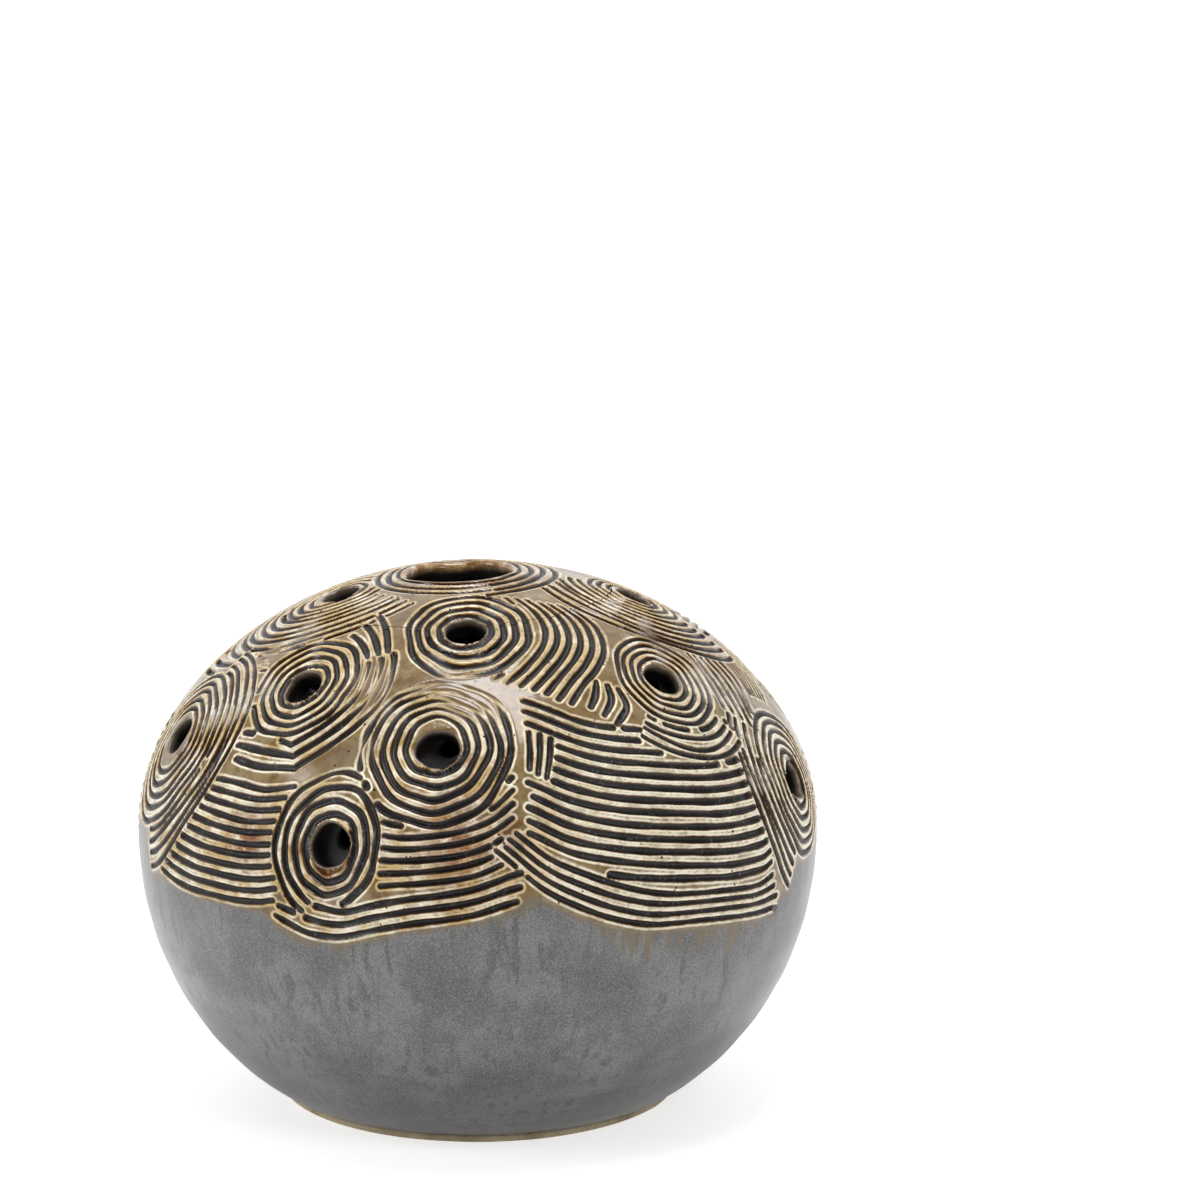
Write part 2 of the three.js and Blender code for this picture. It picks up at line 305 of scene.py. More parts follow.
def surface(azimuth, walk, inset=0.0):
    """Points and normals of the surface, or of one inset from it, in millimetres."""
    radius, height, normal_out, normal_up = section(walk)
    sine, cosine = np.sin(azimuth), np.cos(azimuth)
    normals = np.stack([normal_out * sine, -normal_out * cosine, normal_up * np.ones_like(sine)], -1)
    points = np.stack([radius * sine, -radius * cosine, height * np.ones_like(sine)], -1)
    return points - normals * inset, normals


def chart_to_polar(points):
    points = np.asarray(points, float)
    return np.arctan2(points[:, 0], -points[:, 1]), np.hypot(points[:, 0], points[:, 1])


def polar_to_chart(azimuth, walk):
    return np.stack([walk * np.sin(azimuth), -walk * np.cos(azimuth)], -1)


def walk_at_angle(angle):
    return float(np.interp(angle, TABLE_ANGLE, TABLE_WALK))


def smoothstep(low, high, value):
    share = np.clip((value - low) / (high - low), 0, 1)
    return share * share * (3 - 2 * share)


def hand_wobble(azimuth, walk):
    """How far the thrown wall stands off the true form, always inwards."""
    fade = smoothstep(0, 30, walk) * smoothstep(0, 14, WALK_TO_FOOT - walk)
    sway = (
        0.07 * np.sin(2 * azimuth + 0.7)
        + 0.08 * np.sin(3 * azimuth + 2.1 + walk / 40)
        + 0.05 * np.sin(5 * azimuth + 0.3 - walk / 26)
    )
    throwing = 0.05 * np.sin(walk / 1.9 + 1.3 * np.sin(azimuth)) * smoothstep(112, 124, walk)
    return fade * (sway + throwing - 0.16)


# ---- The carving ----

def spread(towards, angle):
    """Blends the values towards the right, back, left and front of a ring."""
    right, back, left, front = towards
    across = np.where(np.cos(angle) > 0, right, left)
    along = np.where(np.sin(angle) > 0, back, front)
    return across * np.cos(angle) ** 2 + along * np.sin(angle) ** 2


def smooth_path(points, count):
    """A Catmull-Rom curve through points."""
    given = np.array(points, float)
    steps = np.hypot(*np.diff(given, axis=0).T)
    knots = np.concatenate([[0], np.cumsum(steps)]) / steps.sum()
    padded = np.vstack([2 * given[0] - given[1], given, 2 * given[-1] - given[-2]])
    share = np.linspace(0, 1, count)
    span = np.clip(np.searchsorted(knots, share, side="right") - 1, 0, len(given) - 2)
    f = ((share - knots[span]) / (knots[span + 1] - knots[span]))[:, None]
    a, b, c, d = (padded[span + k] for k in range(4))
    bend = 2 * a - 5 * b + 4 * c - d
    return 0.5 * (2 * b + (c - a) * f + bend * f ** 2 + (3 * b - a - 3 * c + d) * f ** 3)


def ring_strokes(ring, draw):
    _, centre, first, pitch, count, start, end, corners = ring
    phase = draw.uniform(0, 2 * math.pi)
    angle = np.radians(np.linspace(start, end, RING_POINTS))
    strokes = []
    gap = spread(pitch, angle)
    for k in range(count):
        radius = spread(first, angle) + k * gap
        if corners:
            radius *= 1 + CORNER_SIZE * np.cos(corners * angle + phase)
        for waves in (2, 3, 4):
            size = draw.uniform(0.004, 0.013)
            radius *= 1 + size * np.cos(waves * angle + draw.uniform(0, 2 * math.pi))
        path = np.stack([radius * np.cos(angle), radius * np.sin(angle)], -1) + centre
        strokes.append((path, gap))
    return strokes


def fan_strokes(fan, draw):
    _, count, first, last = fan
    near, far = smooth_path(first, FAN_POINTS), smooth_path(last, FAN_POINTS)
    across = np.gradient((near + far) / 2, axis=0)[:, ::-1] * (1, -1)
    across /= np.linalg.norm(across, axis=1)[:, None]
    gap = np.abs(((far - near) * across).sum(1)) / (count - 1)
    strokes = []
    for k in range(count):
        share = k / (count - 1)
        sway = draw.uniform(-0.18, 0.18)
        bend = draw.uniform(0, 2 * math.pi)
        path = near * (1 - share) + far * share
        path[:, 1] += sway * np.sin(np.linspace(0, 5, FAN_POINTS) + bend)
        start = draw.randint(0, 2)
        end = FAN_POINTS - draw.randint(0, 2)
        strokes.append((path[start:end], gap[start:end]))
    return strokes


def resample(path, gap):
    """A stroke's chart points at even steps on the pot, the steps, and the pitch at each point."""
    azimuth, walk = chart_to_polar(path)
    points, _ = surface(azimuth, walk)
    along = np.concatenate([[0], np.cumsum(np.linalg.norm(np.diff(points, axis=0), axis=1))])
    count = max(4, int(along[-1] / STROKE_STEP))
    even = np.linspace(0, along[-1], count)
    chart = np.stack([np.interp(even, along, path[:, k]) for k in (0, 1)], -1)
    return chart, even, np.clip(np.interp(even, along, gap), *PITCH_RANGE)


def carve():
    """Every groove as points on the pot: chart place, place, half width and depth."""
    draw = random.Random(11)
    groups = [fan_strokes(fan, draw) for fan in FANS] + [ring_strokes(r, draw) for r in RINGS]
    kept = []
    for strokes in groups:
        charts, widths, depths = [], [], []
        for path, gap in strokes:
            chart, even, pitch = resample(path, gap)
            closed = np.linalg.norm(path[0] - path[-1]) < 0.5
            to_end = np.minimum(even, even[-1] - even)
            taper = np.ones_like(even) if closed else 0.6 + 0.4 * smoothstep(0, 2.5, to_end)
            press = draw.uniform(0.93, 1.06)
            shake = draw.uniform(0, 6)
            wave = 0.07 * np.sin(even / 3.1 + shake) + 0.04 * np.sin(even / 1.3 + 2 * shake)
            charts.append(chart)
            widths.append(GROOVE_SHARE * pitch * (press + wave) * (0.75 + 0.25 * taper))
            depths.append(GROOVE_DEPTH * (press + 1.5 * wave) * taper)
        chart = np.vstack(charts)
        azimuth, walk = chart_to_polar(chart)
        places, _ = surface(azimuth, walk)
        new = (chart, places, np.concatenate(widths), np.concatenate(depths))
        kept = [clear_of(group, places) for group in kept] + [new]
    return [np.concatenate([group[k] for group in kept]) for k in range(4)]


def clear_of(group, later):
    """A group's points without those that later strokes run over."""
    low, high = later.min(0) - STROKE_GAP, later.max(0) + STROKE_GAP
    near = np.flatnonzero(((group[1] > low) & (group[1] < high)).all(1))
    if not len(near):
        return group
    distance, _ = nearest(group[1][near], later)
    keep = np.ones(len(group[1]), bool)
    keep[near[distance < STROKE_GAP]] = False
    return tuple(part[keep] for part in group)


def nearest(queries, targets):
    """Distance to the nearest target of each query, and which one it is."""
    tree = KDTree(len(targets))
    for index, point in enumerate(targets):
        tree.insert(point, index)
    tree.balance()
    found = [tree.find(point) for point in queries]
    distance = np.array([hit[2] for hit in found])
    index = np.array([hit[1] for hit in found])
    return distance, index


GROOVES = carve()


def lower_border():
    """How far down the carving reaches, for each half degree of azimuth."""
    azimuth, walk = chart_to_polar(GROOVES[0])
    slot = ((azimuth / (2 * math.pi)) % 1 * BORDER_BINS).astype(int) % BORDER_BINS
    reach = np.full(BORDER_BINS, np.nan)
    low = walk > BORDER_START
    for index in np.unique(slot[low]):
        reach[index] = walk[low & (slot == index)].max()
    known = np.flatnonzero(~np.isnan(reach))
    reach = np.interp(np.arange(BORDER_BINS), known, reach[known], period=BORDER_BINS)
    widened = np.max([np.roll(reach, k) for k in range(-2, 3)], axis=0)
    return np.mean([np.roll(widened, k) for k in range(-3, 4)], axis=0)


BORDER = lower_border() + BORDER_MARGIN


def below_border(azimuth, walk):
    """How far each place lies below the carving's lower border."""
    turn = (azimuth / (2 * math.pi)) % 1 * len(BORDER)
    return walk - np.interp(turn, np.arange(len(BORDER)), BORDER, period=len(BORDER))


def spots(chart, places, elliptical):
    """The strongest of several soft spots at each chart point."""
    total = np.zeros(len(chart))
    for place in places:
        reach_u, reach_v = (place[2], place[3]) if elliptical else (place[2], place[2])
        away = ((chart[:, 0] - place[0]) / reach_u) ** 2 + ((chart[:, 1] - place[1]) / reach_v) ** 2
        total = np.maximum(total, place[-1] * np.exp(-1.4 * away))
    return total


def drip_length(azimuth):
    """How far the amber glaze runs below the carving."""
    degrees = np.degrees(azimuth)
    total = np.full(len(azimuth), 1.2)
    for middle, half, length in DRIPS:
        away = (degrees - middle + 180) % 360 - 180
        total = total + length * np.exp(-((away / half) ** 2))
    return total


def ridge(value, shape):
    """A smooth ridge of a given height, place and width."""
    height, place, width = shape
    return height * np.exp(-((value - place) / width) ** 2)


def skin(azimuth, walk):
    """The finished outer surface at many places: points, and what the glaze needs to know."""
    points, normals = surface(azimuth, walk)
    edge = np.full(len(points), FAR)
    depth = np.zeros(len(points))
    carved = np.flatnonzero(below_border(azimuth, walk) < 1.0)
    if len(carved):
        distance, index = nearest(points[carved], GROOVES[1])
        edge[carved] = np.minimum(distance - GROOVES[2][index], FAR)
        depth[carved] = GROOVES[3][index]
    chart = polar_to_chart(azimuth, walk)
    rub = spots(chart, RUBS, True)
    cut = depth * (1 - smoothstep(*GROOVE_WALL, edge)) * (1 - rub)
    burr = ridge(edge, BURR) * (1 - rub)
    moved = hand_wobble(azimuth, walk) - cut + np.where(edge < FAR, burr, 0)
    bead = ridge(WALK_TO_FOOT - walk, FOOT_BEAD)
    values = {
        "edge": edge,
        "below": below_border(azimuth, walk),
        "rub": rub,
        "stain": spots(chart, STAINS, False),
        "drip": drip_length(azimuth),
        "deep": np.zeros(len(points)),
    }
    return points + normals * (moved + bead)[:, None], values


# ---- Building meshes ----

VALUES = ("edge", "below", "rub", "stain", "drip", "deep")


class Shell:
    """Points, faces and glaze values of one piece while it is put together."""

    def __init__(self):
        self.points = []
        self.values = {name: [] for name in VALUES}
        self.faces = []
        self.inside = []
        self.count = 0

    def add_points(self, points, values=None):
        start = self.count
        self.points.append(np.asarray(points, float))
        self.count += len(points)
        for name in VALUES:
            given = (values or {}).get(name, FAR if name == "edge" else 0.0)
            self.values[name].append(np.broadcast_to(given, (len(points),)).astype(float))
        return start

    def add_faces(self, faces, inside=False):
        self.faces.extend(faces)
        self.inside.extend([inside] * len(faces))

    def all_points(self):
        return np.vstack(self.points)

    def make(self, name, materials):
        mesh = bpy.data.meshes.new(name)
        mesh.from_pydata((self.all_points() * MM).tolist(), [], self.faces)
        for material in materials:
            mesh.materials.append(material)
        last = len(materials) - 1
        mesh.polygons.foreach_set("material_index", np.minimum(self.inside, last).astype(np.int32))
        mesh.polygons.foreach_set("use_smooth", np.ones(len(self.faces), bool))
        for value in VALUES:
            layer = mesh.attributes.new(value, "FLOAT", "POINT")
            layer.data.foreach_set("value", np.concatenate(self.values[value]).astype(np.float32))
        tidy = bmesh.new()
        tidy.from_mesh(mesh)
        bmesh.ops.recalc_face_normals(tidy, faces=tidy.faces)
        for edge in tidy.edges:
            linked = [face.index for face in edge.link_faces]
            edge.smooth = len({self.inside[k] for k in linked}) == 1
        tidy.to_mesh(mesh)
        tidy.free()
        piece = bpy.data.objects.new(name, mesh)
        bpy.context.scene.collection.objects.link(piece)
        return piece


def column_angles(columns):
    return np.arange(columns) * 2 * math.pi / columns


def ring_faces(start_a, count_a, start_b, count_b):
    """Faces between two rings of points, where one may have twice the columns of the other."""
    faces = []
    if count_a == count_b:
        j = np.arange(count_a)
        k = (j + 1) % count_a
        return np.stack([start_a + j, start_b + j, start_b + k, start_a + k], -1).tolist()
    if count_b == 2 * count_a:
        for j in range(count_a):
            a, b = start_a + j, start_a + (j + 1) % count_a
            c, d, e = (start_b + (2 * j + k) % count_b for k in range(3))
            faces += [(a, c, d), (a, d, b), (b, d, e)]
        return faces
    for j in range(count_b):
        a, b = start_b + j, start_b + (j + 1) % count_b
        c, d, e = (start_a + (2 * j + k) % count_a for k in range(3))
        faces += [(c, a, d), (d, a, b), (d, b, e)]
    return faces


def ring_grid(rings):
    """Azimuth and walk of every point of a stack of rings (walk, columns), and its faces."""
    azimuths, walks, faces, starts = [], [], [], []
    total = 0
    for walk, columns in rings:
        azimuths.append(column_angles(columns))
        walks.append(np.full(columns, walk))
        starts.append(total)
        total += columns
    for i in range(len(rings) - 1):
        faces += ring_faces(starts[i], rings[i][1], starts[i + 1], rings[i + 1][1])
    return np.concatenate(azimuths), np.concatenate(walks), faces, starts


def open_loops(faces):
    """The open edges of a patch of faces, as loops of points in order."""
    edges = set()
    for face in faces:
        edges.update(zip(face, face[1:] + face[:1]))
    following = {a: b for a, b in edges if (b, a) not in edges}
    loops = []
    while following:
        start, here = following.popitem()
        loop = [start]
        while here != start and here in following:
            loop.append(here)
            here = following.pop(here)
        loops.append(loop)
    return loops


def cut_hole(faces, points, axis_point, axis, radius, reach, depth_range):
    """Removes the faces of a round hole. Returns the other faces and the hole's edge, in order."""
    offset = points - axis_point
    along = offset @ axis
    radial = np.linalg.norm(offset - along[:, None] * axis, axis=1)
    near = (along > depth_range[0]) & (along < depth_range[1]) & (radial < radius + reach)
    gone = near & (radial < radius)
    kept, patch = [], []
    for face in faces:
        if any(gone[v] for v in face):
            continue
        kept.append(face)
        if near[face[0]]:
            patch.append(tuple(face))
    loop = min(open_loops(patch), key=lambda found: radial[found].mean())
    return kept, loop


def axis_frame(axis):
    side = np.cross(axis, [0.0, 0.0, 1.0]) if abs(axis[2]) < 0.95 else np.cross(axis, [0, 1.0, 0])
    side = side / np.linalg.norm(side)
    return side, np.cross(axis, side)


def angles_about(points, axis_point, axis):
    side, other = axis_frame(axis)
    offset = points - axis_point
    return np.arctan2(offset @ other, offset @ side)


def stitch(loop_a, angles_a, loop_b, angles_b):
    """Triangles between two loops of points round the same axis."""
    order_a, order_b = np.argsort(angles_a), np.argsort(angles_b)
    a = [loop_a[k] for k in order_a]
    b = [loop_b[k] for k in order_b]
    ta = np.append(np.sort(angles_a), np.min(angles_a) + 2 * math.pi)
    tb = np.append(np.sort(angles_b), np.min(angles_b) + 2 * math.pi)
    faces, i, j = [], 0, 0
    while i < len(a) or j < len(b):
        if j >= len(b) or (i < len(a) and ta[i + 1] <= tb[j + 1]):
            faces.append((a[i % len(a)], a[(i + 1) % len(a)], b[j % len(b)]))
            i += 1
        else:
            faces.append((a[i % len(a)], b[(j + 1) % len(b)], b[j % len(b)]))
            j += 1
    return faces


def stem_hole_frames():
    """Centre, axis and radius of each stem hole."""
    found = []
    for azimuth, angle, diameter in STEM_HOLES:
        centre, normal = surface(
            np.array([math.radians(azimuth)]), np.array([walk_at_angle(angle)])
        )
        found.append((centre[0], normal[0], diameter / 2))
    return found


def rim_shape(angle, seed):
    """A hand-cut hole isn't quite round."""
    draw = random.Random(seed)
    share = np.ones_like(angle)
    for waves, size in ((2, 0.035), (3, 0.025), (5, 0.018), (9, 0.008)):
        share += draw.uniform(0.4, 1) * size * np.cos(waves * angle + draw.uniform(0, 6.28))
    return share


def bore(shell, loop, points, centre, axis, radius, seed):
    """Rounds the edge of a stem hole and runs its wall down to the inner surface."""
    loop_points = points[loop]
    angle = angles_about(loop_points, centre, axis)
    side, other = axis_frame(axis)
    outwards = np.cos(angle)[:, None] * side + np.sin(angle)[:, None] * other
    level = (loop_points - centre) @ axis
    shape = rim_shape(angle, seed)
    points[loop] = centre + outwards * ((radius + HOLE_RIM) * shape)[:, None] + level[:, None] * axis
    rows = [(HOLE_RIM * (1 - math.sin(a)), HOLE_RIM * (1 - math.cos(a)))
            for a in np.radians([22, 45, 68, 90])]
    rows += [(0.10 * math.sin(3 * k), HOLE_RIM + (WALL - HOLE_RIM) * k / BORE_ROWS)
             for k in range(1, BORE_ROWS + 1)]
    last = loop
    count = len(loop)
    for grow, deep in rows:
        fade = max(0.0, 1 - deep / WALL)
        ring = centre + outwards * (radius * shape + grow)[:, None]
        ring = ring + ((level * fade) - deep)[:, None] * axis
        start = shell.add_points(ring, {"deep": deep, "stain": 0.6})
        now = list(range(start, start + count))
        shell.add_faces([
            (last[(k + 1) % count], last[k], now[k], now[(k + 1) % count]) for k in range(count)
        ])
        last = now
    return last, angle


def inner_wall():
    """The dome's inner surface, coarser than the skin."""
    walk_in = inner_walk_at(JOIN_HEIGHT)
    length = walk_in - DOME_START
    steps = int(length / INNER_STEP)
    rings = [(DOME_START + length * k / steps, INNER_COLUMNS) for k in range(steps + 1)]
    azimuth, walk, faces, starts = ring_grid(rings)
    points, _ = surface(azimuth, walk, WALL)
    faces = [face[::-1] for face in faces]
    return points, faces, starts[-1]


def inner_walk_at(height, inset=WALL):
    """Walk down the outer surface to where a surface inset from it reaches a height."""
    walk = np.linspace(60, WALK_TO_FOOT, 4000)
    points, _ = surface(np.zeros_like(walk), walk, inset)
    return float(np.interp(-height, -points[:, 2], walk))


def build_dome(materials):
    """The carved dome: its skin, its inner surface, and the walls of its holes between them."""
    length = WALK_TO_JOIN - DOME_START
    rows = int(length / SKIN_STEP)
    rings = []
    for k in range(rows + 1):
        walk = DOME_START + length * k / rows
        halvings = sum(walk < limit for limit in COARSE_WALKS)
        rings.append((walk, SKIN_COLUMNS // 2 ** halvings))
    azimuth, walk, faces, starts = ring_grid(rings)
    points, values = skin(azimuth, walk)
    shell = Shell()
    shell.add_points(points, values)
    points = shell.points[0]
    wall_points, wall_faces, wall_border = inner_wall()
    wall_start = shell.add_points(wall_points, {"deep": WALL})
    bores = []
    for seed, (centre, axis, radius) in enumerate(stem_hole_frames()):
        faces, loop = cut_hole(
            faces, points, centre, axis, radius + HOLE_RIM, SKIN_CUT_REACH, STEM_CUT
        )
        bores.append((*bore(shell, loop, points, centre, axis, radius, seed), centre, axis, radius))
    mouth_centre = np.array([*MOUTH, HEIGHT])
    up = np.array([0.0, 0.0, 1.0])
    faces, loop = cut_hole(
        faces, points, mouth_centre, up, LIP_RADIUS, SKIN_CUT_REACH, MOUTH_CUT
    )
    offset = points[loop] - mouth_centre
    offset[:, :2] *= (LIP_RADIUS / np.linalg.norm(offset[:, :2], axis=1))[:, None]
    points[loop] = mouth_centre + offset
    drop = points[loop].copy()
    drop[:, 2] -= WALL
    start = shell.add_points(drop, {"deep": WALL})
    under = list(range(start, start + len(loop)))
    shell.add_faces([
        (loop[(k + 1) % len(loop)], loop[k], under[k], under[(k + 1) % len(loop)])
        for k in range(len(loop))
    ], True)
    bores.append((under, angles_about(drop, mouth_centre, up), mouth_centre, up, LIP_RADIUS))
    shell.add_faces(faces)
    for loop, angle, centre, axis, radius in bores:
        wall_faces, edge = cut_hole(
            wall_faces, wall_points, centre, axis,
            radius + INNER_CUT_MARGIN, INNER_CUT_REACH, INNER_CUT,
        )
        edge_angle = angles_about(wall_points[edge], centre, axis)
        moved = [wall_start + v for v in edge]
        shell.add_faces(stitch(loop, angle, moved, edge_angle), True)
    shell.add_faces([tuple(wall_start + v for v in face) for face in wall_faces], True)
    outer_ring = list(range(starts[-1], starts[-1] + SKIN_COLUMNS))
    inner_ring = [wall_start + wall_border + k for k in range(INNER_COLUMNS)]
    shell.add_faces(stitch(
        outer_ring, column_angles(SKIN_COLUMNS), inner_ring, column_angles(INNER_COLUMNS)
    ), True)
    return shell.make("dome_carved", materials)


def lathe_ring(angle, radius, height):
    height = np.full(len(angle), height)
    return np.stack([radius * np.sin(angle), -radius * np.cos(angle), height], -1)


def lathe_rows(shell, outline, columns, values=None):
    """Rings of points for an outline of (radius, height); returns each ring's first index."""
    angle = column_angles(columns)
    return [shell.add_points(lathe_ring(angle, *row), values) for row in outline]


def close_rows(shell, starts, columns, inside=False):
    """Joins each ring to the next."""
    for a, b in zip(starts, starts[1:]):
        shell.add_faces(ring_faces(a, columns, b, columns), inside)


def cap(shell, start, columns, height, inside=False):
    """Closes a ring with a fan of triangles to the axis."""
    middle = shell.add_points([(0.0, 0.0, height)], {"deep": WALL})
    shell.add_faces(
        [(start + k, start + (k + 1) % columns, middle) for k in range(columns)], inside
    )


def build_bowl(materials):
    """The lower half: its grey skin, the recess under it, its floor and its inner wall."""
    half = SKIN_COLUMNS // 2
    rows = int((WALK_TO_FOOT - WALK_TO_JOIN) / BELLY_STEP)
    rings = [
        (WALK_TO_JOIN + (WALK_TO_FOOT - WALK_TO_JOIN) * k / rows, half if k else SKIN_COLUMNS)
        for k in range(rows + 1)
    ]
    azimuth, walk, faces, starts = ring_grid(rings)
    points, values = skin(azimuth, walk)
    shell = Shell()
    shell.add_points(points, values)
    shell.add_faces(faces)
    base = [
        (FOOT_INNER_RADIUS + 4, FOOT_HEIGHT),
        (FOOT_INNER_RADIUS, FOOT_HEIGHT),
        (FOOT_INNER_RADIUS - 0.9, FOOT_HEIGHT + 0.9),
        (FOOT_INNER_RADIUS - 3, BASE_RECESS - 0.3),
        (FOOT_INNER_RADIUS / 2, BASE_RECESS - 0.1),
        (2.0, BASE_RECESS),
    ]
    below = [starts[-1]] + lathe_rows(shell, base, half, {"deep": -1.0, "below": 80.0})
    close_rows(shell, below, half)
    cap(shell, below[-1], half, BASE_RECESS)
    walls = np.linspace(inner_walk_at(JOIN_HEIGHT), inner_walk_at(FLOOR_TOP), 24)
    wall_points, _ = surface(np.zeros_like(walls), walls, WALL)
    outline = [(-p[1], p[2]) for p in wall_points] + [(20.0, FLOOR_TOP - 0.3), (2.0, FLOOR_TOP - 0.4)]
    within = lathe_rows(shell, outline, half, {"deep": WALL})
    close_rows(shell, within, half, True)
    cap(shell, within[-1], half, FLOOR_TOP - 0.4, True)
    shell.add_faces(ring_faces(starts[0], SKIN_COLUMNS, within[0], half), True)
    return shell.make("bowl_grey", materials)


def build_liner(materials):
    """The coat of glaze inside the bowl, with the throwing rings that show through it."""
    back = WALL + FIT_GAP
    face = back + GLAZE
    top = JOIN_HEIGHT - FIT_GAP
    floor = FLOOR_TOP + FIT_GAP
    outer_walk = np.linspace(inner_walk_at(floor, back), inner_walk_at(top, back), 24)
    inner_walk = np.linspace(inner_walk_at(top, face), inner_walk_at(floor + GLAZE, face), 60)
    outer, _ = surface(np.zeros_like(outer_walk), outer_walk, back)
    inner, _ = surface(np.zeros_like(inner_walk), inner_walk, face)
    outline = [(2.0, floor), (20.0, floor)] + [(-p[1], p[2]) for p in outer]
    for k, p in enumerate(inner):
        ripple = 0.18 * math.sin(k * 0.9) * math.sin(math.pi * k / len(inner))
        outline.append((-p[1] + ripple - 0.05, p[2]))
    outline += [(20.0, floor + GLAZE + 0.05), (2.0, floor + GLAZE)]
    shell = Shell()
    starts = lathe_rows(shell, outline, LINER_COLUMNS, {"deep": WALL})
    close_rows(shell, starts, LINER_COLUMNS)
    cap(shell, starts[0], LINER_COLUMNS, floor)
    cap(shell, starts[-1], LINER_COLUMNS, floor + GLAZE)
    return shell.make("inside_liner", materials)


def build_foot(materials):
    """The ring of bare clay that the pot stands on, wiped clean by hand."""
    angle = column_angles(FOOT_COLUMNS)
    wave = 0.10 * np.sin(3 * angle + 1) + 0.07 * np.sin(7 * angle) + 0.04 * np.sin(17 * angle + 2)
    outline = [  # radius, height, share of the wave
        (FOOT_INNER_RADIUS + FOOT_BEVEL, 0.0, 0.0),
        (FOOT_INNER_RADIUS + 2.5, 0.0, 0.0),
        (FOOT_RADIUS - 2.5, 0.0, 0.0),
        (FOOT_RADIUS - FOOT_BEVEL - 0.25, 0.0, 0.6),
        (FOOT_RADIUS - 0.55 * FOOT_BEVEL, 0.22, 0.8),
        (FOOT_RADIUS - 0.25 * FOOT_BEVEL, FOOT_BEVEL, 1.0),
        (FOOT_RADIUS - 0.12, 0.5 * FOOT_HEIGHT, 1.0),
        (FOOT_RADIUS - 0.18, FOOT_HEIGHT, 0.4),
        (FOOT_INNER_RADIUS, FOOT_HEIGHT, 0.0),
        (FOOT_INNER_RADIUS, FOOT_BEVEL, 0.0),
    ]
    shell = Shell()
    starts = []
    for radius, height, sway in outline:
        ring = lathe_ring(angle, radius + sway * (wave - 0.2), height)
        starts.append(shell.add_points(ring))
    close_rows(shell, starts + [starts[0]], FOOT_COLUMNS)
    return shell.make("foot_clay", materials)


def mouth_circle(angle, reach):
    """A circle round the middle of the mouth."""
    return MOUTH[0] + reach * np.cos(angle), MOUTH[1] + reach * np.sin(angle)


def skin_at(x, y):
    """The finished skin above places on the ground plan of the dome."""
    walk = np.interp(np.hypot(x, y), TABLE_RADIUS[:UPPER], TABLE_WALK[:UPPER])
    return skin(np.arctan2(x, -y), walk)


def build_lip(materials):
    """The rolled edge of the mouth, from the first groove down to the inner surface."""
    angle = column_angles(LIP_COLUMNS)
    wave = 0.12 * np.sin(2 * angle + 0.6) + 0.08 * np.sin(3 * angle) + 0.05 * np.sin(7 * angle + 1)
    shell = Shell()
    starts = []
    outside = LIP_RADIUS - LIP_GAP
    for reach in [outside] + list(np.arange(*LIP_FLAT, -LIP_STEP)):
        starts.append(shell.add_points(*skin_at(*mouth_circle(angle, reach))))
    base, values = skin_at(*mouth_circle(angle, MOUTH_RADIUS + LIP_ROLL))
    level = base[:, 2]
    rolled = [(LIP_ROLL * (1 - math.sin(a)), LIP_ROLL * (math.cos(a) - 1))
              for a in np.radians([-20, -5, 12, 30, 48, 66, 84])]
    down = [(0.05 * math.sin(2 * k), -LIP_ROLL - (WALL - LIP_ROLL) * k / 5) for k in range(1, 6)]
    for grow, rise in rolled + down:
        reach = MOUTH_RADIUS + grow + wave * min(1.0, max(0.0, -rise * 2))
        ring = np.stack([*mouth_circle(angle, reach), level + rise], -1)
        given = dict(
            values, edge=np.maximum(values["edge"], 0.4), stain=0.8, deep=max(0.0, -rise - 0.4)
        )
        starts.append(shell.add_points(ring, given))
    ring = np.stack([*mouth_circle(angle, outside), level - WALL], -1)
    starts.append(shell.add_points(ring, {"deep": WALL}))
    close_rows(shell, starts, LIP_COLUMNS)
    close_rows(shell, [starts[-1], starts[0]], LIP_COLUMNS, True)
    return shell.make("lip_rolled", materials)


# ---- Materials ----

def linear(red, green, blue):
    """A colour seen on a screen, 0 to 255, as scene light."""
    return tuple(
        (c / 255) / 12.92 if c / 255 <= 0.04045 else ((c / 255 + 0.055) / 1.055) ** 2.4
        for c in (red, green, blue)
    ) + (1.0,)


CREAM = linear(242, 234, 212)
TAN = linear(146, 118, 76)
SAND = linear(144, 124, 86)
BROWN = linear(74, 44, 18)
POOLED = linear(16, 12, 10)
SLATE = linear(92, 102, 110)
AMBER = linear(114, 95, 64)
MILK = linear(128, 112, 96)
GREY = linear(102, 102, 101)
GREY_DARK = linear(62, 62, 62)
GREY_LIGHT = linear(134, 134, 134)
GREY_SMUDGE = linear(66, 62, 56)
# Near-black colours for inside the pot: painted shade for the darkness seen down the holes.
INSIDE_SHADE = linear(12, 10, 9)
INSIDE_WARM = linear(30, 21, 15)
CLAY = linear(204, 188, 158)
CLAY_DARK = linear(164, 146, 120)
SPECK = linear(58, 34, 18)
RUST_TINT = (0.34, 0.15, 0.05, 1.0)
AMBER_TINT = (0.66, 0.50, 0.24, 1.0)
DULL_TINT = (0.56, 0.50, 0.40, 1.0)


class Nodes:
    """The node tree of a material or a world."""

    def __init__(self, owner):
        owner.use_nodes = True
        self.tree = owner.node_tree
        self.tree.nodes.clear()

    def node(self, kind):
        return self.tree.nodes.new(kind)

    def link(self, source, target):
        self.tree.links.new(source, target)


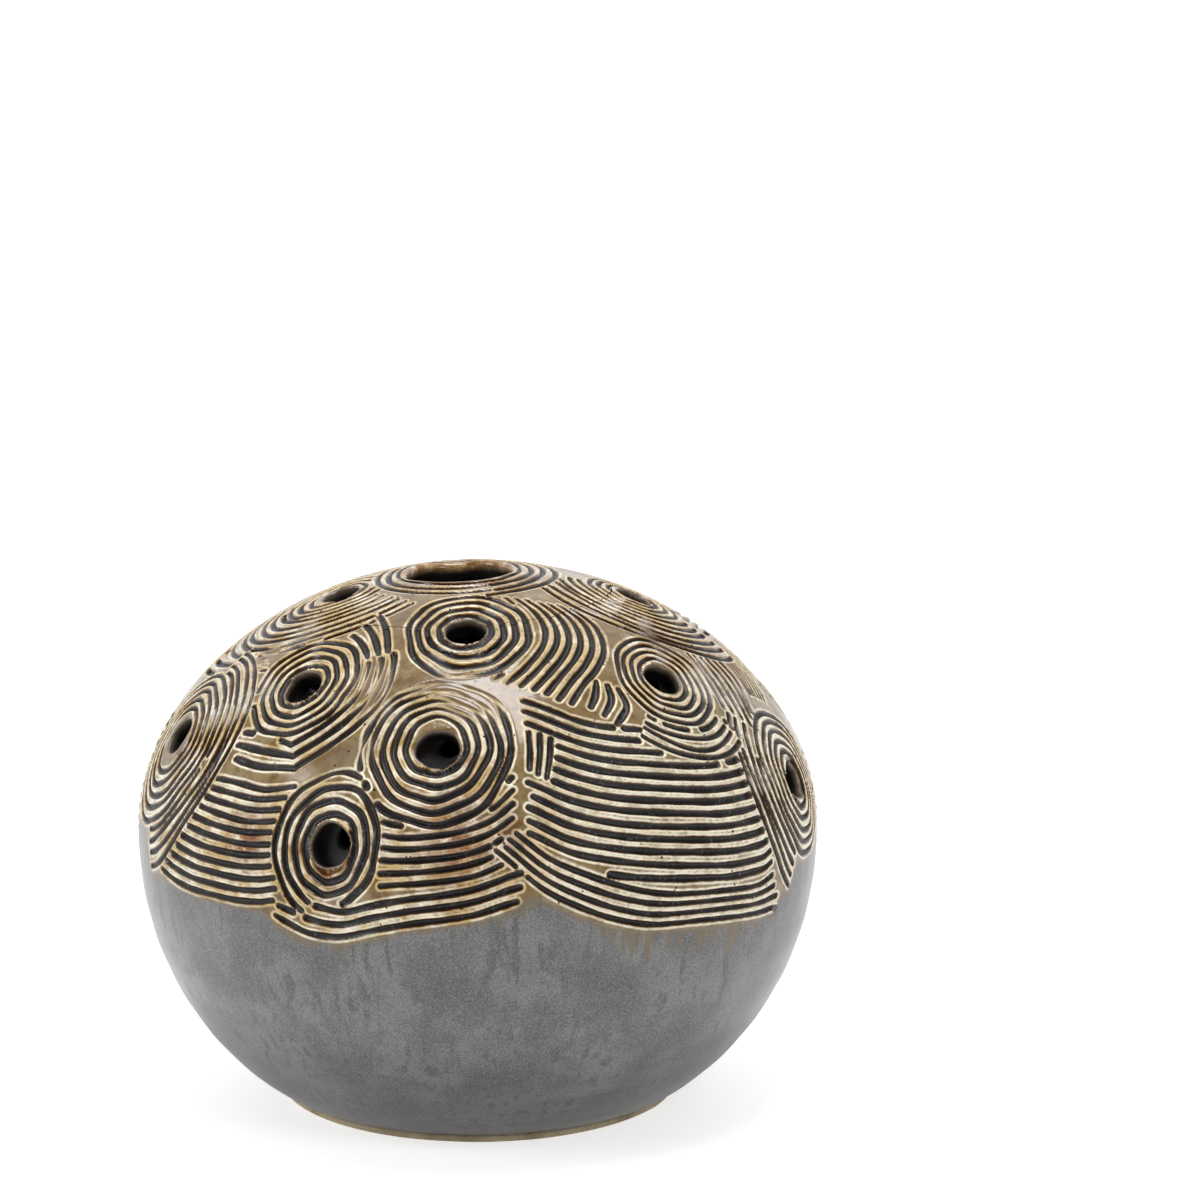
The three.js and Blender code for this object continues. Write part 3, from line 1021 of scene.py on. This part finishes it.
class Paint(Nodes):
    """A node material with short ways to make the nodes it needs."""

    def __init__(self, name):
        self.material = bpy.data.materials.new(name)
        super().__init__(self.material)
        self.shader = self.node("ShaderNodeBsdfPrincipled")
        output = self.node("ShaderNodeOutputMaterial")
        self.link(self.shader.outputs["BSDF"], output.inputs["Surface"])
        self.place = self.node("ShaderNodeTexCoord").outputs["Object"]

    def feed(self, target, value):
        if isinstance(value, bpy.types.NodeSocket):
            self.link(value, target)
        else:
            target.default_value = value

    def attribute(self, name):
        node = self.node("ShaderNodeAttribute")
        node.attribute_name = name
        return node.outputs["Fac"]

    def stretched(self, x, y, z):
        node = self.node("ShaderNodeVectorMath")
        node.operation = "MULTIPLY"
        self.link(self.place, node.inputs[0])
        node.inputs[1].default_value = (x, y, z)
        return node.outputs["Vector"]

    def noise(self, size_mm, detail=3.0, roughness=0.55, vector=None):
        """Noise whose features are about size_mm across, from 0 to 1."""
        node = self.node("ShaderNodeTexNoise")
        self.link(vector or self.place, node.inputs["Vector"])
        node.inputs["Scale"].default_value = 1 / (size_mm * MM)
        node.inputs["Detail"].default_value = detail
        node.inputs["Roughness"].default_value = roughness
        return node.outputs["Fac"]

    def cells(self, size_mm):
        """Distance to the nearest of scattered points, as a share of size_mm."""
        node = self.node("ShaderNodeTexVoronoi")
        self.link(self.place, node.inputs["Vector"])
        node.inputs["Scale"].default_value = 1 / (size_mm * MM)
        return node.outputs["Distance"]

    def math(self, operation, a, b=0.0):
        node = self.node("ShaderNodeMath")
        node.operation = operation
        self.feed(node.inputs[0], a)
        self.feed(node.inputs[1], b)
        return node.outputs["Value"]

    def times(self, a, b):
        return self.math("MULTIPLY", a, b)

    def plus(self, a, b):
        return self.math("ADD", a, b)

    def span(self, value, low, high, to_low=0.0, to_high=1.0):
        """Maps low..high to to_low..to_high with soft ends."""
        node = self.node("ShaderNodeMapRange")
        node.interpolation_type = "SMOOTHSTEP"
        self.feed(node.inputs["Value"], value)
        node.inputs["From Min"].default_value = low
        node.inputs["From Max"].default_value = high
        node.inputs["To Min"].default_value = to_low
        node.inputs["To Max"].default_value = to_high
        return node.outputs["Result"]

    def mix(self, share, a, b, blend="MIX"):
        node = self.node("ShaderNodeMix")
        node.data_type = "RGBA"
        node.blend_type = blend
        colour_a, colour_b = (s for s in node.inputs if s.type == "RGBA")
        self.feed(node.inputs["Factor"], share)
        self.feed(colour_a, a)
        self.feed(colour_b, b)
        return next(s for s in node.outputs if s.type == "RGBA")

    def ramp(self, value, stops):
        node = self.node("ShaderNodeValToRGB")
        self.feed(node.inputs["Fac"], value)
        elements = node.color_ramp.elements
        while len(elements) < len(stops):
            elements.new(0.5)
        for element, (position, colour) in zip(elements, stops):
            element.position = position
            element.color = colour
        return node.outputs["Color"]

    def bump(self, height, strength, distance_mm):
        node = self.node("ShaderNodeBump")
        self.feed(node.inputs["Height"], height)
        node.inputs["Strength"].default_value = strength
        node.inputs["Distance"].default_value = distance_mm * MM
        self.link(node.outputs["Normal"], self.shader.inputs["Normal"])

    def set(self, **sockets):
        for name, value in sockets.items():
            self.feed(self.shader.inputs[name.replace("_", " ")], value)


EDGE_RANGE = (-1.0, 3.0)  # the part of the distance to a groove's edge that has its own colours


def carved_colour(paint, softened, rub, stain, specks):
    """Over the carving the colour follows the distance to the nearest groove's edge."""
    low, high = EDGE_RANGE
    share = paint.span(softened, low, high)
    share.node.interpolation_type = "LINEAR"

    def stop(distance, colour):
        return ((distance - low) / (high - low), colour)

    carved = paint.ramp(share, [
        stop(-1.0, POOLED), stop(-0.26, POOLED), stop(-0.10, BROWN), stop(0.04, TAN),
        stop(0.14, CREAM), stop(0.45, CREAM), stop(0.75, SAND), stop(1.7, SAND),
    ])
    # Blue-grey flecks float in the pooled glaze.
    floor_share = paint.span(softened, -0.15, -0.45)
    flecks = paint.span(paint.noise(1.0, 5, 0.7), 0.55, 0.63)
    clouds = paint.span(paint.noise(9.0, 2), 0.42, 0.56)
    fleck_share = paint.times(paint.times(flecks, clouds), floor_share)
    carved = paint.mix(paint.times(fleck_share, 0.75), carved, SLATE)
    # Breaks of amber and rust.
    patchy = paint.span(paint.noise(3.2, 5, 0.65), 0.32, 0.52)
    rust_share = paint.times(stain, patchy)
    carved = paint.mix(rust_share, carved, RUST_TINT, "MULTIPLY")
    across = paint.node("ShaderNodeSeparateXYZ")
    paint.link(paint.place, across.inputs["Vector"])
    leftwards = paint.span(across.outputs["X"], 45 * MM, -5 * MM, 0.2, 0.9)
    upwards = paint.span(across.outputs["Z"], 92 * MM, 112 * MM, 0.0, 0.85)
    warm = paint.times(paint.span(paint.noise(8.0, 4, 0.6), 0.42, 0.60), leftwards)
    crown = paint.times(paint.span(paint.noise(6.0, 4, 0.6), 0.34, 0.52), upwards)
    warm = paint.math("MAXIMUM", warm, crown)
    carved = paint.mix(warm, carved, AMBER_TINT, "MULTIPLY")
    dull = paint.times(paint.span(paint.noise(3.6, 5, 0.7), 0.52, 0.38), 0.7)
    carved = paint.mix(dull, carved, DULL_TINT, "MULTIPLY")
    carved = paint.mix(paint.times(rub, 0.65), carved, MILK)
    some = paint.span(paint.noise(5.0, 2), 0.5, 0.56)
    return paint.mix(paint.times(specks, some), carved, SPECK)


def grey_colour(paint, below, grain):
    """Below the carving the grey glaze is mottled, with faint upright runs, and painted shade darkens
    it towards the foot.
    """
    upright = paint.stretched(1.0, 1.0, 0.22)
    runs = paint.noise(2.6, 4, 0.6, upright)
    broad = paint.noise(16.0, 5, 0.6)
    grey = paint.mix(paint.span(broad, 0.35, 0.65), GREY_DARK, GREY_LIGHT)
    grey = paint.mix(0.5, grey, GREY)
    bands = paint.noise(3.4, 2, 0.5, paint.stretched(0.05, 0.05, 1.0))
    grey = paint.mix(paint.times(paint.span(bands, 0.5, 0.7), 0.15), grey, GREY_LIGHT)
    smudge = paint.times(paint.span(runs, 0.48, 0.66), paint.span(broad, 0.40, 0.58))
    grey = paint.mix(paint.times(smudge, 0.75), grey, GREY_SMUDGE)
    grey = paint.mix(paint.times(paint.span(grain, 0.5, 0.62), 0.65), grey, GREY_LIGHT)
    grey = paint.mix(paint.times(paint.span(grain, 0.5, 0.38), 0.65), grey, GREY_DARK)
    # Painted shade: the grey darkens towards the foot, where the lower belly faces the floor.
    underside_shade_share = paint.times(paint.span(below, 25.0, 70.0), 0.45)
    return paint.mix(underside_shade_share, grey, GREY_DARK)


def glaze():
    """The glaze of the whole outside: cream and nearly black over the carving, grey below it."""
    paint = Paint("glaze")
    edge, below = paint.attribute("edge"), paint.attribute("below")
    rub, stain = paint.attribute("rub"), paint.attribute("stain")
    drip, deep = paint.attribute("drip"), paint.attribute("deep")
    uneven = paint.times(paint.math("SUBTRACT", paint.noise(1.6, 4), 0.5), 0.30)
    softened = paint.plus(paint.plus(edge, uneven), paint.times(rub, 1.6))
    specks = paint.span(paint.cells(2.6), 0.15, 0.10)
    grain = paint.noise(0.4, 4, 0.7)
    carved = carved_colour(paint, softened, rub, stain, specks)
    grey = grey_colour(paint, below, grain)

    # Amber runs cross from one to the other.
    fringe = paint.noise(1.5, 3, 0.6, paint.stretched(1.0, 1.0, 0.10))
    reach = paint.times(drip, paint.span(fringe, 0.35, 0.72))
    past = paint.math("SUBTRACT", below, reach)
    amber_share = paint.span(past, 0.9, -1.2)
    grey = paint.mix(paint.times(amber_share, 0.7), grey, AMBER)
    border = paint.span(paint.plus(below, paint.times(uneven, 1.6)), 0.7, -0.8)
    colour = paint.mix(border, grey, carved)

    # Painted shade: down the bores and the mouth's wall the colour goes to near black, standing in
    # for the shade inside the pot.
    colour = paint.mix(paint.span(deep, 0.35, 2.2), colour, INSIDE_SHADE)

    satin = paint.span(border, 0.0, 1.0, 0.34, 0.13)
    rough = paint.plus(satin, paint.times(grain, 0.10))
    # The glaze pooled in the grooves and down the bores shines less than the ridges do.
    pool = paint.times(paint.span(softened, 0.0, -0.3), border)
    pool = paint.math("MAXIMUM", pool, paint.span(deep, 0.4, 1.2))
    rough = paint.plus(rough, paint.times(pool, 0.22))
    paint.set(Base_Color=colour, Roughness=rough, IOR=1.45)
    paint.set(Coat_Weight=paint.span(pool, 0.0, 1.0, 0.42, 0.04), Coat_Roughness=0.06)
    pits = paint.times(specks, -0.8)
    height = paint.plus(paint.times(paint.noise(1.3, 4), 0.8), pits)
    paint.bump(height, 0.35, 0.12)
    return paint.material


def inside_glaze():
    paint = Paint("inside_glaze")
    rings = paint.noise(6.0, 3, 0.5, paint.stretched(0.2, 0.2, 2.0))
    # Painted shade: the inside glaze is near black for the shade inside the pot, and its throwing
    # rings only shift that dark a little warmer.
    colour = paint.mix(paint.span(rings, 0.4, 0.7), INSIDE_SHADE, INSIDE_WARM)
    paint.set(Base_Color=colour, Roughness=paint.span(paint.noise(4.0), 0.3, 0.7, 0.30, 0.5))
    paint.set(IOR=1.35)
    paint.bump(rings, 0.3, 0.3)
    return paint.material


def bare_clay():
    paint = Paint("bare_clay")
    grain = paint.noise(0.7, 5, 0.75)
    patches = paint.noise(9.0, 3)
    colour = paint.mix(paint.span(patches, 0.35, 0.7), CLAY, CLAY_DARK)
    grog = paint.span(paint.cells(1.3), 0.22, 0.12)
    colour = paint.mix(paint.times(grog, 0.5), colour, SPECK)
    colour = paint.mix(paint.times(grain, 0.3), colour, CLAY_DARK)
    paint.set(Base_Color=colour, Roughness=paint.span(grain, 0.3, 0.7, 0.75, 0.95))
    paint.bump(grain, 0.5, 0.15)
    return paint.material


# ---- The pieces ----

outside = glaze()
inside = inside_glaze()
pieces = [
    (build_dome([outside, inside]), "carved_dome", "carved_glaze"),
    (build_bowl([outside, inside]), "bowl", "grey_glaze"),
    (build_liner([inside]), "inside_glaze", "liner_glaze"),
    (build_lip([outside]), "mouth_lip", "lip_glaze"),
    (build_foot([bare_clay()]), "foot_ring", "bare_clay"),
]
for piece, node, slot in pieces:
    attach(piece, "root")
    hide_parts(node)


# ---- The studio ----

CAMERA_PLACE = (0.0, -1.3452, 0.4380)
CAMERA_PITCH = 13.41      # degrees down
CAMERA_YAW = 1.22         # degrees to the right
LENS = 177.78
SENSOR_WIDTH = 36.0
FLOOR_HALF_SIDE = 9.0
FLOOR_GLOW = 0.20         # what the floor gives out as light
FLOOR_SEEN_GLOW = 0.42    # and what the camera sees on top of that
SKY_SEEN = 1.0
SKY_LIGHT = 1.1
SKY_DARKEST = 0.06        # the part of the sky's light that comes from its dark side
SKY_DIRECTION = (0.0, 0.95, 0.3)
SKY_BRIGHT_AT = 0.95
AIM = (0, 0, 0.06)        # where the lights point
SOFTBOXES = [             # name, place, size, power in watts
    ("over", (0.05, 0.0, 1.4), (0.8, 0.5), 11.0),
    ("left", (-1.4, -0.5, 0.75), (0.6, 1.0), 10.0),
    ("right", (0.95, -1.15, 0.95), (0.6, 0.8), 8.0),
]


def build_floor():
    mesh = bpy.data.meshes.new("floor")
    side = FLOOR_HALF_SIDE
    mesh.from_pydata(
        [(-side, -side, 0), (side, -side, 0), (side, side, 0), (-side, side, 0)], [], [(0, 1, 2, 3)]
    )
    paint = Paint("floor")
    paint.set(Base_Color=(0.86, 0.86, 0.86, 1), Roughness=0.7)
    # The floor looks white, and throws less light than that on the pot.
    seen = paint.node("ShaderNodeLightPath").outputs["Is Camera Ray"]
    glow = paint.plus(FLOOR_GLOW, paint.times(seen, FLOOR_SEEN_GLOW))
    paint.set(Emission_Color=(1, 1, 1, 1), Emission_Strength=glow)
    mesh.materials.append(paint.material)
    floor = bpy.data.objects.new("floor", mesh)
    bpy.context.scene.collection.objects.link(floor)


def build_world():
    """White to the eye; as a light it is brightest behind the pot and darkest in front of it."""
    world = bpy.data.worlds.new("studio")
    nodes = Nodes(world)
    seen = nodes.node("ShaderNodeBackground")
    seen.inputs["Color"].default_value = (1, 1, 1, 1)
    seen.inputs["Strength"].default_value = SKY_SEEN
    light = nodes.node("ShaderNodeBackground")
    light.inputs["Strength"].default_value = SKY_LIGHT
    direction = nodes.node("ShaderNodeVectorMath")
    direction.operation = "DOT_PRODUCT"
    nodes.link(nodes.node("ShaderNodeTexCoord").outputs["Generated"], direction.inputs[0])
    direction.inputs[1].default_value = SKY_DIRECTION
    ramp = nodes.node("ShaderNodeMapRange")
    ramp.inputs["From Min"].default_value = 0.0
    ramp.inputs["From Max"].default_value = SKY_BRIGHT_AT
    ramp.inputs["To Min"].default_value = SKY_DARKEST
    ramp.inputs["To Max"].default_value = 1.0
    nodes.link(direction.outputs["Value"], ramp.inputs["Value"])
    nodes.link(ramp.outputs["Result"], light.inputs["Color"])
    choose = nodes.node("ShaderNodeMixShader")
    nodes.link(nodes.node("ShaderNodeLightPath").outputs["Is Camera Ray"], choose.inputs["Fac"])
    nodes.link(light.outputs["Background"], choose.inputs[1])
    nodes.link(seen.outputs["Background"], choose.inputs[2])
    output = nodes.node("ShaderNodeOutputWorld")
    nodes.link(choose.outputs["Shader"], output.inputs["Surface"])
    bpy.context.scene.world = world


def softbox(name, place, size, power):
    light = bpy.data.lights.new(name, "AREA")
    light.shape = "RECTANGLE"
    light.size, light.size_y = size
    light.energy = power
    lamp = bpy.data.objects.new(name, light)
    lamp.location = place
    lamp.rotation_euler = (Vector(AIM) - Vector(place)).to_track_quat("-Z", "Y").to_euler()
    bpy.context.scene.collection.objects.link(lamp)


def build_camera():
    data = bpy.data.cameras.new("camera")
    data.lens = LENS
    data.sensor_width = SENSOR_WIDTH
    data.clip_end = 100.0
    camera = bpy.data.objects.new("camera", data)
    camera.location = CAMERA_PLACE
    camera.rotation_euler = (
        math.radians(90 - CAMERA_PITCH), 0.0, math.radians(-CAMERA_YAW)
    )
    bpy.context.scene.collection.objects.link(camera)
    bpy.context.scene.camera = camera


build_floor()
build_world()
for row in SOFTBOXES:
    softbox(*row)
build_camera()
bpy.context.scene.view_settings.view_transform = "Standard"
